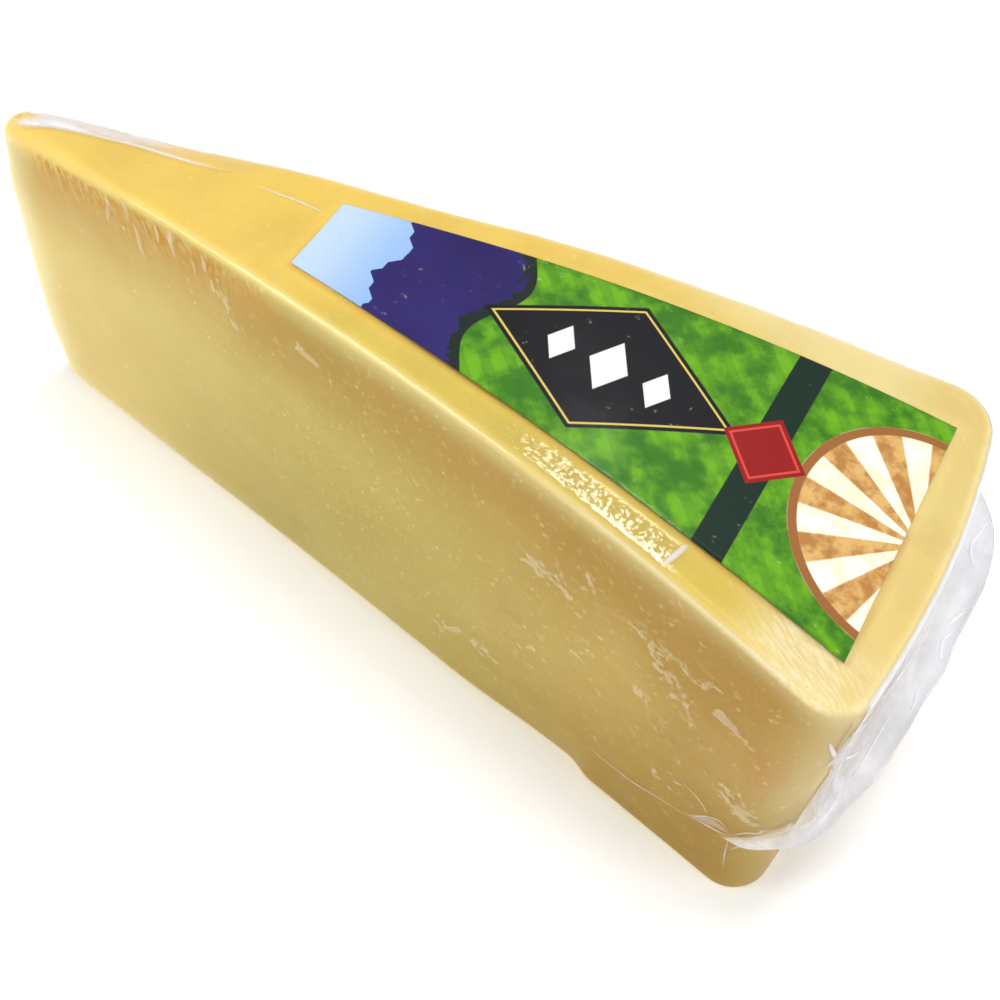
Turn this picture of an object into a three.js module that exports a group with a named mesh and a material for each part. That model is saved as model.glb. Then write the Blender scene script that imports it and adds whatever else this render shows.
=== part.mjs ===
// A vacuum-packed wedge of hard cheese: the cheese itself, the printed label that lies
// on its top face, and the clear film where it stands free of the cheese, as a cover
// over the rind with the sealed flange of the pack round its middle.
// Millimetres, +Z up. The tip points along -X and the rind faces +X.
import * as THREE from "three";
import { LoftGeometry } from "three/addons/geometries/LoftGeometry.js";

const { lerp, smoothstep } = THREE.MathUtils;

// Plan of the cheese. The two cut faces, carried on past the blunt tip, meet at x = 0.
const MEETING_TO_RIND = 218.7;
const RIND_WIDTH = 78;
const TIP_RADIUS = 5.2;
const NEAR_CORNER_RADIUS = 7;
const FAR_CORNER_RADIUS = 8;
const RIND_BULGE = 3.5;
const NEAR_FACE_HOLLOW = 1.4;
const FAR_FACE_HOLLOW = 2.6;

// Height of the cheese. The top is crowned along its length, more so on the far side.
const HEIGHT_AT_MEETING = 70.7;
const HEIGHT_AT_RIND = 75.9;
const NEAR_CROWN = 9.4;
const FAR_CROWN = 12.3;
const CROWN_PEAK = 0.59;
const BASE_EDGE_RADIUS = 4.2;
const TOP_EDGE_RADIUS = 5;

// A scoop in the foot of the near cut face. It deepens slowly towards the rind and
// then ends in a short step.
const SCOOP_START = 145;
const SCOOP_DEEPEST = 176;
const SCOOP_END = 182;
const SCOOP_DEPTH = 1.5;
const SCOOP_HEIGHT = 16;

// The label, with its narrow end towards the tip.
const LABEL_START = 100.7;
const LABEL_END = 213.4;
const LABEL_START_HALF_WIDTH = 8.2;
const LABEL_END_HALF_WIDTH = 26.7;
const LABEL_MIDDLE = -1.8;
const LABEL_THICKNESS = 0.3;

// The film.
const FILM_THICKNESS = 0.45;
const FLANGE_THICKNESS = 0.7;
const GAP = 0.35;

// How finely the surfaces are divided.
const CORNER_STEPS = 9;
const CUT_FACE_STEPS = 46;
const RIND_STEPS = 26;
const EDGE_STEPS = 4;
const SIDE_STEPS = 6;
const LABEL_STEPS = 24;
const TOP_RINGS = [0.88, 0.74, 0.58, 0.42, 0.26, 0.1];

const halfWidth = RIND_WIDTH / 2;

// ---------------------------------------------------------------- plan outline

// The corners in turn, counterclockwise seen from above: tip, near rind, far rind.
const corners = [
  { at: new THREE.Vector2(0, 0), radius: TIP_RADIUS, sideSteps: CUT_FACE_STEPS },
  {
    at: new THREE.Vector2(MEETING_TO_RIND, -halfWidth),
    radius: NEAR_CORNER_RADIUS,
    sideSteps: RIND_STEPS,
  },
  {
    at: new THREE.Vector2(MEETING_TO_RIND, halfWidth),
    radius: FAR_CORNER_RADIUS,
    sideSteps: CUT_FACE_STEPS,
  },
];

// The direction, as an angle, of the outward normal of the side from a to b.
function outwardAngle(a, b) {
  return Math.atan2(-(b.x - a.x), b.y - a.y);
}

// Each corner is rounded by an arc about a centre on its bisector.
corners.forEach((corner, k) => {
  const before = corners[(k + 2) % 3].at;
  const after = corners[(k + 1) % 3].at;
  const toBefore = before.clone().sub(corner.at).normalize();
  const toAfter = after.clone().sub(corner.at).normalize();
  const halfAngle = Math.acos(toBefore.dot(toAfter)) / 2;
  const inward = toBefore.add(toAfter).setLength(corner.radius / Math.sin(halfAngle));
  corner.centre = corner.at.clone().add(inward);
  corner.arcStart = outwardAngle(before, corner.at);
  corner.arcEnd = outwardAngle(corner.at, after);
  if (corner.arcEnd < corner.arcStart) corner.arcEnd += 2 * Math.PI;
});

// A point of the corner's arc, with the outline drawn in by inset.
function arcPoint(corner, angle, inset) {
  const reach = corner.radius - inset;
  const across = new THREE.Vector2(Math.cos(angle), Math.sin(angle));
  return corner.centre.clone().addScaledVector(across, reach);
}

// The rind bulges outwards and the cut faces are slightly hollow along their length.
function bow(point) {
  const along = point.x / MEETING_TO_RIND;
  const across = THREE.MathUtils.clamp(point.y / (halfWidth * Math.max(along, 0.08)), -1, 1);
  const hollow = across < 0 ? NEAR_FACE_HOLLOW : FAR_FACE_HOLLOW;
  const bulge = RIND_BULGE * (1 - (point.y / halfWidth) ** 2) * along ** 2;
  const pull = hollow * 4 * along * Math.max(1 - along, 0) * across;
  return new THREE.Vector2(point.x + bulge, point.y - pull);
}

// The outline of the cheese seen from above, drawn in by inset all round.
function planOutline(inset) {
  const points = [];
  corners.forEach((corner, k) => {
    const next = corners[(k + 1) % 3];
    for (let i = 0; i < CORNER_STEPS; i++) {
      const angle = lerp(corner.arcStart, corner.arcEnd, i / CORNER_STEPS);
      points.push(arcPoint(corner, angle, inset));
    }
    const start = arcPoint(corner, corner.arcEnd, inset);
    const end = arcPoint(next, next.arcStart, inset);
    for (let i = 0; i < corner.sideSteps; i++) {
      points.push(start.clone().lerp(end, i / corner.sideSteps));
    }
  });
  return points.map(bow);
}

// ---------------------------------------------------------------- the cheese

// Height of the top face: a straight rise to the rind, and on it a crown along the
// length whose peak lies a little nearer the rind than the tip.
function topHeight(x, y) {
  const along = x / MEETING_TO_RIND;
  const across = THREE.MathUtils.clamp(y / (halfWidth * Math.max(along, 0.08)), -1, 1);
  const crown = lerp(NEAR_CROWN, FAR_CROWN, (1 + across) / 2);
  const span = along < CROWN_PEAK ? CROWN_PEAK : 1 - CROWN_PEAK;
  const offPeak = (along - CROWN_PEAK) / span;
  return lerp(HEIGHT_AT_MEETING, HEIGHT_AT_RIND, along) + crown * (1 - offPeak ** 2);
}

// The scoop pushes the foot of the near cut face in, and fades out up the face.
function scoop(point) {
  if (point.y > 0) return point;
  const slope = smoothstep(point.x, SCOOP_START, SCOOP_DEEPEST);
  const step = smoothstep(point.x, SCOOP_DEEPEST, SCOOP_END);
  point.y += SCOOP_DEPTH * (slope - step) * (1 - smoothstep(point.z, 0, SCOOP_HEIGHT));
  return point;
}

function cheeseRings() {
  const rings = [];
  const addRing = (inset, heightOf) => {
    const ring = planOutline(inset).map((p) => {
      return scoop(new THREE.Vector3(p.x, p.y, heightOf(topHeight(p.x, p.y))));
    });
    rings.push(ring);
  };
  for (let i = 0; i <= EDGE_STEPS; i++) {
    const turn = (i / EDGE_STEPS) * (Math.PI / 2);
    const height = BASE_EDGE_RADIUS * (1 - Math.cos(turn));
    addRing(BASE_EDGE_RADIUS * (1 - Math.sin(turn)), () => height);
  }
  for (let i = 1; i < SIDE_STEPS; i++) {
    addRing(0, (top) => lerp(BASE_EDGE_RADIUS, top - TOP_EDGE_RADIUS, i / SIDE_STEPS));
  }
  for (let i = 0; i <= EDGE_STEPS; i++) {
    const turn = (i / EDGE_STEPS) * (Math.PI / 2);
    const drop = TOP_EDGE_RADIUS * (1 - Math.sin(turn));
    addRing(TOP_EDGE_RADIUS * (1 - Math.cos(turn)), (top) => top - drop);
  }
  const rim = rings[rings.length - 1];
  const middle = rim.reduce((sum, p) => sum.add(p), new THREE.Vector3());
  middle.divideScalar(rim.length);
  TOP_RINGS.forEach((share) => {
    const ring = rim.map((p) => {
      const inner = middle.clone().lerp(p, share);
      inner.z = topHeight(inner.x, inner.y);
      return inner;
    });
    rings.push(ring);
  });
  return rings;
}

// ---------------------------------------------------------------- the label

// A thin flat bar across the top at each station, standing a gap above the cheese.
function labelBars() {
  const bars = [];
  for (let i = 0; i <= LABEL_STEPS; i++) {
    const share = i / LABEL_STEPS;
    const x = lerp(LABEL_START, LABEL_END, share);
    const half = lerp(LABEL_START_HALF_WIDTH, LABEL_END_HALF_WIDTH, share);
    const near = LABEL_MIDDLE - half;
    const far = LABEL_MIDDLE + half;
    const foot = (y) => topHeight(x, y) + GAP;
    bars.push([
      new THREE.Vector3(x, near, foot(near)),
      new THREE.Vector3(x, far, foot(far)),
      new THREE.Vector3(x, far, foot(far) + LABEL_THICKNESS),
      new THREE.Vector3(x, near, foot(near) + LABEL_THICKNESS),
    ]);
  }
  return bars;
}

// ---------------------------------------------------------------- the film

// The free film at stations along the outline, measured in millimetres from the middle
// of the rind, towards the near cut face as minus. It starts as a low fold on the near
// face, climbs round the corner, stands out as the flange across the rind and dies away
// on the far face. seam is the height of the flange, reach how far it stands out, and
// cover how far the film round it clings above and below.
const FILM_STATIONS = [
  { run: -78, seam: 17.6, reach: 1.0, cover: 1.5 },
  { run: -66, seam: 17.8, reach: 1.2, cover: 2.0 },
  { run: -58, seam: 20.0, reach: 1.5, cover: 3.5 },
  { run: -53, seam: 23.5, reach: 2.6, cover: 7.0 },
  { run: -46, seam: 32.0, reach: 2.0, cover: 16.0 },
  { run: -38, seam: 35.5, reach: 3.4, cover: 24.0 },
  { run: -20, seam: 38.0, reach: 6.8, cover: 29.0 },
  { run: 0, seam: 40.0, reach: 8.2, cover: 30.0 },
  { run: 24, seam: 44.5, reach: 10.4, cover: 25.0 },
  { run: 33, seam: 49.0, reach: 9.6, cover: 20.0 },
  { run: 41, seam: 51.0, reach: 6.2, cover: 13.0 },
  { run: 50, seam: 46.0, reach: 2.4, cover: 6.0 },
  { run: 72, seam: 32.0, reach: 1.0, cover: 2.0 },
];
const FLANGE_DROOP = 1.6;
const FLANGE_WAVE = 0.6;
const FLANGE_WAVE_LENGTH = 19;

// The film's measures at any run, eased from one station to the next.
function filmAt(run) {
  const last = FILM_STATIONS.findIndex((station) => station.run >= run);
  const to = FILM_STATIONS[Math.max(last, 1)];
  const from = FILM_STATIONS[Math.max(last, 1) - 1];
  const share = (run - from.run) / (to.run - from.run);
  return {
    seam: lerp(from.seam, to.seam, share),
    reach: lerp(from.reach, to.reach, share),
    cover: lerp(from.cover, to.cover, share),
  };
}

// The section of the film in a plane square to the outline: the clinging cover, with
// the flange standing out of its middle. Each entry is [distance out, height].
function filmSection(run) {
  const { seam, reach, cover } = filmAt(run);
  const wave = FLANGE_WAVE * Math.sin((2 * Math.PI * run) / FLANGE_WAVE_LENGTH);
  const skin = GAP + FILM_THICKNESS;
  const lipShare = smoothstep(reach, 1, 6);
  const lip = seam + (wave - FLANGE_DROOP) * lipShare;
  const half = FLANGE_THICKNESS / 2;
  const bend = lerp(skin, reach, 0.55);
  const bendHeight = lerp(seam, lip, 0.35);
  return [
    [GAP, seam - cover],
    [GAP, seam + cover],
    [skin, seam + cover],
    [skin, seam + 2 * half],
    [bend, bendHeight + half],
    [reach, lip + half / 2],
    [reach, lip - half / 2],
    [bend, bendHeight - half],
    [skin, seam - 2 * half],
    [skin, seam - cover],
  ];
}

// The outline's stations that the film covers, in order, each with its run.
function filmRuns() {
  const outline = planOutline(0);
  const rindMiddle = 2 * CORNER_STEPS + CUT_FACE_STEPS + RIND_STEPS / 2;
  const runs = outline.map(() => 0);
  for (let i = rindMiddle + 1; i < outline.length; i++) {
    runs[i] = runs[i - 1] + outline[i].distanceTo(outline[i - 1]);
  }
  for (let i = rindMiddle - 1; i >= 0; i--) {
    runs[i] = runs[i + 1] - outline[i].distanceTo(outline[i + 1]);
  }
  const first = FILM_STATIONS[0].run;
  const last = FILM_STATIONS[FILM_STATIONS.length - 1].run;
  const stations = runs.map((run, index) => ({ run, index }));
  return stations.filter(({ run }) => run >= first && run <= last);
}

function filmSections() {
  return filmRuns().map(({ run, index }) => {
    return filmSection(run).map(([out, height]) => {
      const p = planOutline(-out)[index];
      return new THREE.Vector3(p.x, p.y, height);
    });
  });
}

// ---------------------------------------------------------------- the parts

const CAPPED = { capStart: true, capEnd: true };

const cheese = new THREE.Mesh(
  new LoftGeometry(cheeseRings(), CAPPED),
  new THREE.MeshStandardMaterial({ color: 0xe4cf86, roughness: 0.45 }),
);
cheese.name = "cheese_wedge";

const label = new THREE.Mesh(
  new LoftGeometry(labelBars(), CAPPED),
  new THREE.MeshStandardMaterial({ color: 0x5f9a34, roughness: 0.35 }),
);
label.name = "label";

const film = new THREE.Mesh(
  new LoftGeometry(filmSections(), CAPPED),
  new THREE.MeshStandardMaterial({
    color: 0xf2f3f5,
    roughness: 0.12,
    transparent: true,
    opacity: 0.35,
  }),
);
film.name = "film_wrap";

// The pack stands on its base, with the middle of its footprint over the origin.
const pack = new THREE.Group();
pack.add(cheese, label, film);
const extent = new THREE.Box3().setFromObject(pack);
const footprint = extent.getCenter(new THREE.Vector3());
pack.position.set(-footprint.x, -footprint.y, -extent.min.z);

export default pack;
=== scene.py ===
# %% [markdown]
# # A packed wedge of hard cheese
#
# This lesson dresses a plain model of a vacuum-packed wedge of hard cheese. The model gives
# the true sizes: one solid for the cheese, one for the label and one for the loose film.
# Each is replaced here by a finer surface with a finish of its own.
#
# The first cell loads the model as a fixed frame. Everything made later is placed in that
# frame, so nothing has to be fitted by hand.

# %% Tools and the fixed frame
import math

import bpy
import numpy as np
from mathutils import Matrix, Vector


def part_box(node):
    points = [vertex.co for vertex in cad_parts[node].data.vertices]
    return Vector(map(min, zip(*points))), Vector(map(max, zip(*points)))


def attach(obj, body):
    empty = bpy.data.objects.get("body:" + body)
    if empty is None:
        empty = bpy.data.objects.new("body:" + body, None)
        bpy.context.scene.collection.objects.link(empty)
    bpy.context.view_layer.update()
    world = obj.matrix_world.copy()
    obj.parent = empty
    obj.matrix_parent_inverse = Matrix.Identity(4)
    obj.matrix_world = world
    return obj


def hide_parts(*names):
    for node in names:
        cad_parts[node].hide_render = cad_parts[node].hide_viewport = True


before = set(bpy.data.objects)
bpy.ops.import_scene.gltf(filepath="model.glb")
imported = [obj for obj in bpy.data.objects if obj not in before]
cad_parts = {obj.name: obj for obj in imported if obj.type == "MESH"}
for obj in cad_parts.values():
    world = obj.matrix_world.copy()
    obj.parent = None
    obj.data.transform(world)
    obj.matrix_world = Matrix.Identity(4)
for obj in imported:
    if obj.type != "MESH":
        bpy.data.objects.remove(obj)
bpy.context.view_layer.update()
MM = 0.001
print("nodes:", sorted(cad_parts))

# %% [markdown]
# ## The measures of the wedge
#
# A wedge is a slice of a round wheel, so seen from above it is a long triangle. Its three
# corners are rounded, the rind bulges and the cut faces are slightly hollow. The two cut
# faces would meet at x = 0, a little in front of the blunt tip. The top is crowned along
# its length, because the wheel's top was.
#
# These are the measures that the plain solids were made from, in millimetres. The fine
# surfaces repeat them, so they lie where the solids are. Two forms are closer to the real
# wedge. Its top edge is sharper on the near side and rounder on the far side, and its
# blunt tip stands out a little between base and top edge.

# %% Driving measures
MEETING_TO_RIND = 218.7
HALF_WIDTH = 39.0
TIP_RADIUS = 5.2
NEAR_CORNER_RADIUS = 7.0
FAR_CORNER_RADIUS = 8.0
RIND_BULGE = 3.5
NEAR_FACE_HOLLOW = 1.4
FAR_FACE_HOLLOW = 2.6

HEIGHT_AT_MEETING = 70.7
HEIGHT_AT_RIND = 75.9
NEAR_CROWN = 9.4
FAR_CROWN = 12.3
CROWN_PEAK = 0.59
BASE_EDGE_RADIUS = 4.2
NEAR_EDGE_RADIUS = 2.4
FAR_EDGE_RADIUS = 6.0
TIP_EDGE_RADIUS = 4.4
NEAR_TO_FAR_RUNS = 24.0, 60.0
TIP_TO_NEAR_RUNS, FAR_TO_TIP_RUNS = (-226.0, -196.0), (190.0, 226.0)
TIP_BULGE, TIP_BULGE_START, TIP_BULGE_LENGTH = 1.8, 2.0, 20.0
TIP_BULGE_FOOT, TIP_BULGE_HEAD = (2.0, 18.0), (56.0, 71.0)

SCOOP_START, SCOOP_DEEPEST, SCOOP_END = 145.0, 176.0, 182.0
SCOOP_DEPTH, SCOOP_HEIGHT = 1.5, 16.0

LABEL_START, LABEL_END = 100.7, 213.4
LABEL_START_HALF_WIDTH, LABEL_END_HALF_WIDTH = 8.2, 26.7
LABEL_MIDDLE = -1.8
LABEL_THICKNESS = 0.3
LABEL_LENGTH = LABEL_END - LABEL_START
LABEL_WIDTH = 2.0 * LABEL_END_HALF_WIDTH
LABEL_GAP = 0.35

# %% [markdown]
# ## The plan outline as two arrays
#
# The outline could be a list of points typed in by hand, but three arcs and three straight
# sides describe it fully. Each point is kept with the direction that faces outwards there.
# To draw the outline in or out, every point simply moves along its own direction, which
# leaves arcs round and sides straight.
#
# The list starts in the middle of the tip and goes past the near cut face, the rind and
# the far cut face, back to the tip. The run of a point is its way along the outline from
# the middle of the rind, negative towards the near side. Places on the wall are given by
# run and height.

# %% The plan outline
CUT_STEPS, RIND_STEPS, CORNER_STEPS, TIP_STEPS = 190, 76, 14, 7
SIDE_ANGLE = 90.0 + math.degrees(math.atan2(HALF_WIDTH, MEETING_TO_RIND))


def smooth(value, low, high):
    """Ease from 0 at low to 1 at high: 3 s^2 - 2 s^3, with s the share of the way."""
    share = np.clip((value - low) / (high - low), 0.0, 1.0)
    return share * share * (3.0 - 2.0 * share)


def fade(value, low, high):
    """Ease from 1 at low to 0 at high."""
    return 1.0 - smooth(value, low, high)


def bell(value, middle, width):
    """1 in the middle and near 0 twice the width away: e^-((value - middle) / width)^2."""
    return np.exp(-(((value - middle) / width) ** 2))


# %% [markdown]
# A rounded corner is part of a circle that touches both sides. Each stretch of the outline
# goes from one direction on one arc to another, so arcs and straight sides are one rule.

# %% Arcs and sides
def directions(degrees):
    """Unit vectors (cos a, sin a) for an array of angles."""
    turn = np.radians(degrees)
    return np.stack([np.cos(turn), np.sin(turn)], axis=-1)


def corner_centre(at, before, after, radius):
    """Centre of the arc that rounds a corner: on the bisector, radius / sin(half angle) in."""
    arms = np.array([before, after], float) - at
    arms /= np.linalg.norm(arms, axis=1)[:, None]
    half_angle = math.acos(arms[0] @ arms[1]) / 2.0
    inward = arms.sum(axis=0)
    return at + inward / np.linalg.norm(inward) * radius / math.sin(half_angle)


def plan_outline():
    """Points and outward directions round the plan: arcs joined by straight sides."""
    rind_corner = np.array([MEETING_TO_RIND, HALF_WIDTH])
    tip, near, far = np.array([[0, 0], [1, -1], [1, 1]]) * rind_corner
    tip_arc = corner_centre(tip, far, near, TIP_RADIUS), TIP_RADIUS
    near_arc = corner_centre(near, tip, far, NEAR_CORNER_RADIUS), NEAR_CORNER_RADIUS
    far_arc = corner_centre(far, near, tip, FAR_CORNER_RADIUS), FAR_CORNER_RADIUS
    runs = [
        (tip_arc, 180.0, tip_arc, 360.0 - SIDE_ANGLE, TIP_STEPS),
        (tip_arc, -SIDE_ANGLE, near_arc, -SIDE_ANGLE, CUT_STEPS),
        (near_arc, -SIDE_ANGLE, near_arc, 0.0, CORNER_STEPS),
        (near_arc, 0.0, far_arc, 0.0, RIND_STEPS),
        (far_arc, 0.0, far_arc, SIDE_ANGLE, CORNER_STEPS),
        (far_arc, SIDE_ANGLE, tip_arc, SIDE_ANGLE, CUT_STEPS),
        (tip_arc, SIDE_ANGLE, tip_arc, 180.0, TIP_STEPS),
    ]
    points, outward = [], []
    for (centre_a, radius_a), angle_a, (centre_b, radius_b), angle_b, steps in runs:
        share = np.linspace(0.0, 1.0, steps, endpoint=False)[:, None]
        facing = directions(angle_a + (angle_b - angle_a) * share[:, 0])
        centre = centre_a + (centre_b - centre_a) * share
        points.append(centre + facing * (radius_a + (radius_b - radius_a) * share))
        outward.append(facing)
    return np.concatenate(points), np.concatenate(outward)


# %% [markdown]
# The straight triangle is then bowed: the rind bulges out and the cut faces sink in. It is
# a rule for any point of the plan, so the film and its folds follow the same curves later.

# %% The bowed outline
def bow(plan):
    """Rind out by bulge (1 - (y/half)^2) (x/length)^2, cut faces in by 4 hollow a (1 - a)."""
    x, y = plan[..., 0], plan[..., 1]
    along = x / MEETING_TO_RIND
    across = np.clip(y / (HALF_WIDTH * np.maximum(along, 0.08)), -1.0, 1.0)
    hollow = np.where(across < 0, NEAR_FACE_HOLLOW, FAR_FACE_HOLLOW)
    bulge = RIND_BULGE * (1.0 - (y / HALF_WIDTH) ** 2) * along**2
    pull = hollow * 4.0 * along * np.maximum(1.0 - along, 0.0) * across
    return np.stack([x + bulge, y - pull], axis=-1)


PLAN, OUTWARD = plan_outline()
AROUND = len(PLAN)


def outline(out):
    """The outline moved outwards by out, which may differ from point to point, then bowed."""
    return bow(PLAN + OUTWARD * np.broadcast_to(out, AROUND)[:, None])


RIM = outline(0.0)
TIP_X = RIM[:, 0].min()
RIND_MIDDLE = TIP_STEPS + CUT_STEPS + CORNER_STEPS + RIND_STEPS // 2
STEP_LENGTHS = np.linalg.norm(np.diff(RIM, axis=0), axis=1)
RUN = np.concatenate([[0.0], np.cumsum(STEP_LENGTHS)])
RUN -= RUN[RIND_MIDDLE]
print("outline:", AROUND, "points,", round(RUN[-1] - RUN[0]), "mm round")

# %% [markdown]
# ## Where the part lies in the frame
#
# The formulas above have their own zero. The model was moved so that the middle of its
# footprint is over the origin. The box of the cheese solid tells by how much, so the move
# is worked out and not typed in.
#
# Small helpers turn arrays of points and faces into a mesh object. Arrays go in by
# foreach_set, which is far quicker than a loop over vertices.

# %% Placing and meshing
cheese_low, cheese_high = (np.array(corner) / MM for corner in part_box("cheese_wedge"))
MIDDLE = (RIM.min(axis=0) + RIM.max(axis=0)) / 2.0
SHIFT = np.append((cheese_low + cheese_high)[:2] / 2.0 - MIDDLE, 0.0)
print("shift to the frame in mm:", SHIFT.round(2))


def to_frame(points):
    """Millimetres of the formulas to metres of the frame."""
    return (np.asarray(points, float) + SHIFT) * MM


def add_object(name, data):
    """A new object in the scene that holds a mesh, a light or a camera."""
    piece = bpy.data.objects.new(name, data)
    bpy.context.scene.collection.objects.link(piece)
    return piece


def mesh_object(name, points, quads, triangles=None):
    """A smooth-shaded mesh object from an array of points and arrays of faces."""
    mesh = bpy.data.meshes.new(name)
    mesh.vertices.add(len(points))
    mesh.vertices.foreach_set("co", to_frame(points).astype(np.float32).ravel())
    corners = quads.ravel()
    starts = np.arange(len(quads)) * 4
    if triangles is not None and len(triangles):
        starts = np.concatenate([starts, len(corners) + np.arange(len(triangles)) * 3])
        corners = np.concatenate([corners, triangles.ravel()])
    mesh.loops.add(len(corners))
    mesh.loops.foreach_set("vertex_index", corners.astype(np.int32))
    mesh.polygons.add(len(starts))
    mesh.polygons.foreach_set("loop_start", starts.astype(np.int32))
    mesh.update(calc_edges=True)
    mesh.validate()
    mesh.shade_smooth()
    print(f"{name}: {len(points)} points, {len(starts)} faces")
    return add_object(name, mesh)


def set_attribute(piece, name, values):
    """One number for each vertex, which the material can read by name."""
    layer = piece.data.attributes.new(name, "FLOAT", "POINT")
    layer.data.foreach_set("value", np.asarray(values, np.float32).ravel())


def ripple(a, b, wavelength, seed, waves=9):
    """Smooth seeded unevenness of -1 to 1: the mean of waves in random directions."""
    random = np.random.default_rng(seed)
    total = np.zeros(np.broadcast(a, b).shape)
    for _ in range(waves):
        turn, phase = random.uniform(0.0, 2.0 * np.pi, 2)
        pitch = wavelength * random.uniform(0.7, 1.5)
        slant = a * np.cos(turn) + b * np.sin(turn)
        total += np.sin(2.0 * np.pi * slant / pitch + phase)
    return total / math.sqrt(waves)


# %% [markdown]
# ## The form of the wedge
#
# The wedge is one closed surface of three patches. The wall is a grid: one parameter runs
# round the outline, the other up a profile of base edge, face and top edge. The top and
# the base are ladders: each rung joins a point of the near side to its partner on the far
# side, and the last rungs bend into the curve of the rind. A ladder has no point in the
# middle where all faces meet, so the gloss of the film stays even there.
#
# The same function makes the cheese and the film that clings to it, drawn in by a
# different distance.

# %% The closed surface of the wedge
EDGE_ROWS, FACE_ROWS = 8, 68
HALF = TIP_STEPS + CUT_STEPS + CORNER_STEPS // 2
BARS = AROUND - 2 * HALF
RIND_RUNGS = 44


def top_height(x, y):
    """Straight rise to the rind, plus a crown that falls off as 1 - (distance to peak)^2."""
    along = x / MEETING_TO_RIND
    across = np.clip(y / (HALF_WIDTH * np.maximum(along, 0.08)), -1.0, 1.0)
    crown = NEAR_CROWN + (FAR_CROWN - NEAR_CROWN) * (1.0 + across) / 2.0
    span = np.where(along < CROWN_PEAK, CROWN_PEAK, 1.0 - CROWN_PEAK)
    rise = HEIGHT_AT_MEETING + (HEIGHT_AT_RIND - HEIGHT_AT_MEETING) * along
    return rise + crown * (1.0 - ((along - CROWN_PEAK) / span) ** 2)


def scoop_and_bulge(points):
    """Pushes the foot of the near face in and the tip out, each fading along and upwards."""
    x, y, z = points[..., 0], points[..., 1], points[..., 2]
    slope = smooth(x, SCOOP_START, SCOOP_DEEPEST) - smooth(x, SCOOP_DEEPEST, SCOOP_END)
    push = SCOOP_DEPTH * slope * fade(z, 0.0, SCOOP_HEIGHT) * (y <= 0)
    points[..., 1] += push
    bulge = TIP_BULGE * smooth(z, *TIP_BULGE_FOOT) * fade(z, *TIP_BULGE_HEAD)
    start = TIP_X + TIP_BULGE_START
    points[..., 0] -= bulge * fade(x, start, start + TIP_BULGE_LENGTH)
    return points


def top_edge_radius(run):
    """The near side's radius, eased to the far side's over the rind, and both to the tip's."""
    to_far = smooth(run, *NEAR_TO_FAR_RUNS)
    radius = NEAR_EDGE_RADIUS + (FAR_EDGE_RADIUS - NEAR_EDGE_RADIUS) * to_far
    at_tip = fade(run, *TIP_TO_NEAR_RUNS) + smooth(run, *FAR_TO_TIP_RUNS)
    return radius + (TIP_EDGE_RADIUS - radius) * at_tip


# %% [markdown]
# The three patches share the points of their rims, so the surface has no open seam. It
# stays smooth from face to edge, because each edge is a quarter circle.

# %% Wall, top and base
def wall(drawn_in):
    """Rows of rings: quarter circle at the base, straight face, quarter circle at the top.

    Drawn in by d, a rounded edge keeps its centre and its radius r becomes r - d.
    """
    turn = np.linspace(0.0, np.pi / 2.0, EDGE_ROWS)[:, None] + 0.0 * RUN
    share = np.linspace(0.0, 1.0, FACE_ROWS + 1)[1:-1, None] + 0.0 * RUN
    base, edge = BASE_EDGE_RADIUS, top_edge_radius(RUN)
    inset = np.concatenate([
        drawn_in + (base - drawn_in) * (1.0 - np.sin(turn)),
        drawn_in + 0.0 * share,
        drawn_in + (edge - drawn_in) * (1.0 - np.cos(turn)),
    ])
    lift = np.concatenate([
        base - (base - drawn_in) * np.cos(turn),
        base * (1.0 - share) - edge * share,
        (edge - drawn_in) * np.sin(turn) - edge,
    ])
    follow = np.concatenate([0.0 * turn, share, 0.0 * turn + 1.0])
    plan = np.array([outline(-row) for row in inset])
    height = lift + follow * top_height(plan[..., 0], plan[..., 1])
    return scoop_and_bulge(np.concatenate([plan, height[..., None]], axis=-1))


def rungs(rim):
    """Points inside a rim: near (1 - b) + far b, plus the rind's bow near the last rung."""
    b = np.linspace(0.0, 1.0, BARS + 1)[None, 1:-1, None]
    near, far = rim[1:HALF, None], rim[:-HALF:-1, None]
    end = rim[HALF : HALF + BARS + 1]
    end_bow = end[None, 1:-1] - (end[0] * (1.0 - b) + end[-1] * b)
    weight = smooth(np.arange(1, HALF), HALF - RIND_RUNGS, HALF)[:, None, None]
    return near * (1.0 - b) + far * b + weight * end_bow


def ladder_faces(rim_index, new_start):
    """Quads of a ladder, and the triangles where its first rung shrinks to the tip."""
    index = np.empty((HALF + 1, BARS + 1), int)
    index[0] = rim_index[0]
    index[1:, 0] = rim_index[1 : HALF + 1]
    index[1:HALF, -1] = rim_index[:-HALF:-1]
    index[HALF] = rim_index[HALF : HALF + BARS + 1]
    index[1:HALF, 1:-1] = new_start + np.arange((HALF - 1) * (BARS - 1)).reshape(HALF - 1, -1)
    quads = np.stack([index[1:-1, :-1], index[2:, :-1], index[2:, 1:], index[1:-1, 1:]], axis=-1)
    triangles = np.stack([index[0, :-1], index[1, :-1], index[1, 1:]], axis=-1)
    return quads.reshape(-1, 4), triangles


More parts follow.
